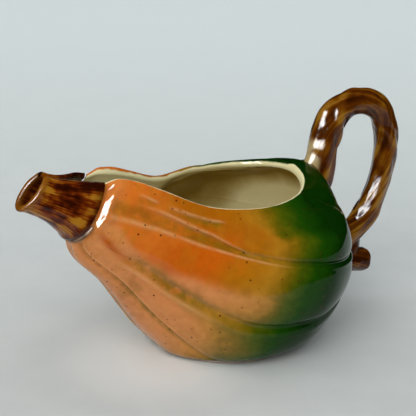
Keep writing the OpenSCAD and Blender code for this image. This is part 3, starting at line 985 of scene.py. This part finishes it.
def glaze_of_bark(name, along, across, darkest, soot, spotty, shades):
    """Streaked glaze in four shades: the streaks' noise scales along and across, the noise's value at the
    first shade, and the strengths of the dark spots and the blotches."""
    look = Look(name)
    flow = look.attribute("flow", "Vector")
    where = look.place()
    streak = look.noise(look.scaled(flow, (along, across, across)), 1.0, 4, 0.6)
    thread = look.noise(look.scaled(flow, (along * 1.6, across * 3.4, across * 3.4)), 1.0, 3, 0.6)
    blotch = look.noise(where, 110, 2)
    value = look.math("ADD", look.product(streak, 0.62), look.product(thread, 0.38))
    value = look.math("ADD", value, look.range(blotch, 0.3, 0.7, -spotty, spotty))
    value = look.math("SUBTRACT", value, look.product(look.attribute("deep"), 0.09))
    stops = zip((0.0, 0.42, 0.75, 1.0), shades)
    colour = look.ramp(look.range(value, darkest, darkest + 0.30), *stops)
    spots = look.range(look.noise(where, 210, 3), 0.60, 0.70, 0, soot)
    colour = look.mix(spots, colour, BARK_DARK)
    return look, colour, thread


def finish_bark(look, colour, thread):
    where = look.place()
    ripple = look.bump(thread, 0.0004, 0.5)
    peel = look.bump(look.noise(where, 300, 2), 0.0002, 0.3, ripple)
    look.set(Base_Color=colour, Roughness=look.range(thread, 0.2, 0.8, 0.05, 0.10), Normal=peel,
             Coat_Weight=0.1, Coat_Roughness=0.04, Specular_IOR_Level=0.22)
    return look.material


def bark_of_spout():
    look, colour, thread = glaze_of_bark("stem_glaze", 0.045, 0.30, 0.362, 0.3, 0.10, STEM_SHADES)
    colour = look.mix(look.product(look.attribute("lip"), 0.75), colour, CUT_LIP)
    # A paler line along the near slot's edge: the glaze's edge and a painted highlight
    colour = look.mix(look.product(look.attribute("slot_edge_and_highlight"), 0.8), colour, SLOT_EDGE_GLAZE_AND_HIGHLIGHT)
    # Painted shade: the spout's inner face is darkened towards the darkest bark
    inside = look.range(look.attribute("inside"), 0.6, 1.0, 0, 0.4)
    colour = look.mix(inside, colour, BARK_DARK)
    colour = look.mix(look.product(look.attribute("base"), 0.7), colour, BARK_DARK)
    return finish_bark(look, colour, thread)


def bark_of_vine():
    look, colour, thread = glaze_of_bark("vine_glaze", 0.022, 0.20, 0.351, 0.0, 0.04, VINE_SHADES)
    colour = look.mix(look.product(look.attribute("patch"), 0.9), colour, BARE_PATCH)
    return finish_bark(look, colour, thread)


def grainy(name, scale, detail, stops, rough, height):
    """A look whose roughness and bumps follow one noise, and the colour that goes with them."""
    look = Look(name)
    value = look.noise(look.place(), scale, *detail)
    look.set(Roughness=look.range(value, *rough), Normal=look.bump(value, *height))
    return look, look.ramp(value, *stops)


def slip_glaze():
    stops = (0.35, (0.06, 0.02, 0.003)), (0.52, (0.20, 0.10, 0.02)), (0.68, (0.42, 0.30, 0.13))
    look, colour = grainy("slip_glaze", 180, (4,), stops, (0.3, 0.7, 0.16, 0.35), (0.0004, 0.5))
    look.set(Base_Color=colour, Coat_Weight=0.6, Coat_Roughness=0.08)
    return look.material


def seam_slip():
    stops = (0.35, (0.09, 0.035, 0.012)), (0.65, (0.36, 0.20, 0.09))
    look, colour = grainy("seam_slip", 220, (4,), stops, (0.3, 0.7, 0.35, 0.6), (0.0005, 0.6))
    look.set(Base_Color=colour)
    return look.material


def bare_clay():
    stops = (0.3, (0.10, 0.055, 0.03)), (0.7, (0.30, 0.20, 0.12))
    look, colour = grainy("bare_clay", 900, (4, 0.7), stops, (0.2, 0.8, 0.75, 0.95), (0.0003, 0.6))
    stained = look.range(look.noise(look.place(), 60, 3), 0.35, 0.7, 0.1, 0.6)
    look.set(Base_Color=look.mix(stained, colour, CLAY_STAIN))
    return look.material


# ---- stage, lights and camera, in metres ----

CAMERA_AZIMUTH = np.radians(-31.5)
CAMERA_ELEVATION = np.radians(21)
CAMERA_DISTANCE = 0.705
CAMERA_TARGET = np.array([-0.0113, 0.0, 0.0687])
CAMERA_LENS = 126.3
SENSOR = 36.0

SWEEP_RADIUS = 2.3
SWEEP_CURVE = 0.7
SWEEP_TOP = 2.2
MIRROR_RADIUS = 0.45
MIRROR_HEIGHT = 0.0002
# How far in front of the jug the mirrored table begins to go dark, and is dark
MIRROR_DARKENS = (0.14, 0.17)
PAPER_NEAR = ((0.55, 0.56, 0.55), (0.58, 0.59, 0.575))
PAPER_FAR = (0.77, 0.81, 0.805)
PAPER_LIT = (0.74, 0.745, 0.73)
PAPER_DARK = (0.02, 0.02, 0.02)
# Light that the glaze throws back onto the paper in front of the foot: its middle, its edge and its core
THROWN_MIDDLE = (-0.045, -0.008, 0.0)
THROWN_RADII = (0.058, 0.008)

# Lights: (azimuth and elevation in degrees, distance, width, height, power)
LIT_POINT = np.array([0.0, 0.0, 0.06])
PANE = (-68, 28, 1.3, 0.40, 0.46, 30.0)
PANE_GAP = 0.06
SKY = (-48, 34, 1.9, 1.6, 1.6, 18.5)
SKY_COLOUR = (1.0, 0.99, 0.97)
ROOM_COLOUR = (0.93, 0.97, 1.0, 1)
ROOM_STRENGTH = 0.95


def direction(azimuth, elevation):
    """Unit vector for an azimuth from -Y towards +X and an elevation, in radians."""
    level = np.cos(elevation)
    return np.array([np.sin(azimuth) * level, -np.cos(azimuth) * level, np.sin(elevation)])


def aim(item, target):
    back = Vector(item.location) - Vector(target)
    item.rotation_euler = back.to_track_quat("Z", "Y").to_euler()


def turned(name, profile, material):
    """A round piece of the stage from a profile of [radius, height] in metres."""
    grid = revolved(profile, 97)
    mesh = bpy.data.meshes.new(name)
    mesh.from_pydata(grid.reshape(-1, 3).tolist(), [], grid_faces(*grid.shape[:2]).tolist())
    mesh.shade_smooth()
    mesh.materials.append(material)
    item = placed(name, mesh)
    return item


def paper(name, mirrored):
    """Pale paper that is a little darker near the camera. The mirrored one also goes dark in front."""
    look = Look(name)
    where = look.place()
    ahead = look.math("DOT_PRODUCT", where, tuple(direction(CAMERA_AZIMUTH, 0.0)), kind="VectorMath")
    thrown = look.math("DISTANCE", where, THROWN_MIDDLE, kind="VectorMath")
    near = look.mix(look.range(look.noise(where, 30, 3), 0.3, 0.7), *PAPER_NEAR)
    near = look.mix(look.range(thrown, *THROWN_RADII), near, PAPER_LIT)
    colour = look.mix(look.range(ahead, -0.75, 0.15), PAPER_FAR, near)
    if mirrored:
        colour = look.mix(look.range(ahead, *MIRROR_DARKENS), colour, PAPER_DARK)
    look.set(Base_Color=colour, Roughness=0.9, Specular_IOR_Level=0.0)
    return look.material


def build_stage():
    """A pale sweep that curves up into a wall. The glaze mirrors a table top instead, dark in front."""
    disc = [(r, MIRROR_HEIGHT) for r in np.linspace(0, MIRROR_RADIUS, 5)]
    mirrored = turned("mirrored_table", disc, paper("mirrored_paper", True))
    mirrored.visible_camera = mirrored.visible_diffuse = mirrored.visible_shadow = False
    flat_end = SWEEP_RADIUS - SWEEP_CURVE
    bend = np.linspace(0.08, np.pi / 2, 16)
    profile = [(r, 0.0) for r in np.linspace(0, flat_end, 13)]
    profile += [(flat_end + SWEEP_CURVE * np.sin(a), SWEEP_CURVE * (1 - np.cos(a))) for a in bend]
    profile += [(SWEEP_RADIUS, 1.2), (SWEEP_RADIUS, SWEEP_TOP)]
    turned("sweep", profile, paper("sweep_paper", False)).visible_glossy = False


def area_light(name, azimuth, elevation, distance, width, height, power, colour=(1, 1, 1)):
    data = bpy.data.lights.new(name, "AREA")
    data.shape = "RECTANGLE"
    data.size, data.size_y = width, height
    data.energy = power
    data.color = colour
    light = placed(name, data)
    light.visible_camera = False
    light.location = LIT_POINT + direction(np.radians(azimuth), np.radians(elevation)) * distance
    aim(light, LIT_POINT)
    return light


def build_window():
    """A window of two by two panes, which only the glaze's reflections see."""
    width, height = PANE[3:5]
    for row in (0, 1):
        for column in (0, 1):
            pane = area_light(f"pane_{row}_{column}", *PANE)
            shift = Vector(((column - 0.5) * (width + PANE_GAP), (row - 0.5) * (height + PANE_GAP), 0))
            pane.location = Vector(pane.location) + pane.rotation_euler.to_matrix() @ shift
            pane.visible_diffuse = False


def build_sky():
    """A soft light from the window's side, which reflections don't see."""
    area_light("sky", *SKY, SKY_COLOUR).visible_glossy = False


def build_world():
    """The room's dim light all round, which reflections don't see."""
    world = bpy.data.worlds.new("room")
    world.use_nodes = True
    background = world.node_tree.nodes["Background"]
    background.inputs["Color"].default_value = ROOM_COLOUR
    background.inputs["Strength"].default_value = ROOM_STRENGTH
    bpy.context.scene.world = world
    world.cycles_visibility.glossy = False


def build_camera():
    data = bpy.data.cameras.new("camera")
    data.lens = CAMERA_LENS
    data.sensor_width = SENSOR
    data.clip_start, data.clip_end = 0.05, 20
    camera = placed("camera", data)
    camera.location = CAMERA_TARGET + CAMERA_DISTANCE * direction(CAMERA_AZIMUTH, CAMERA_ELEVATION)
    aim(camera, CAMERA_TARGET)
    bpy.context.scene.camera = camera


build_camera()
build_stage()
build_world()
build_window()
build_sky()

build_bowl(glaze_of_gourd())
build_spout(bark_of_spout())
vine_look = bark_of_vine()
build_vine(vine_look)
rough_tube("tail", TAIL_PATH, VINE_RADIUS, vine_look, "vine_tail", rings=60, seed=14, cap=0.4, darker=1.6)
rough_tube("twig", TWIG_PATH, TWIG_RADIUS, vine_look, "twig_stub", rings=80, seed=16, cap=0.5, darker=0.7)
build_beads(slip_glaze(), seam_slip())
build_foot(bare_clay())

bpy.context.scene.view_settings.view_transform = "Standard"
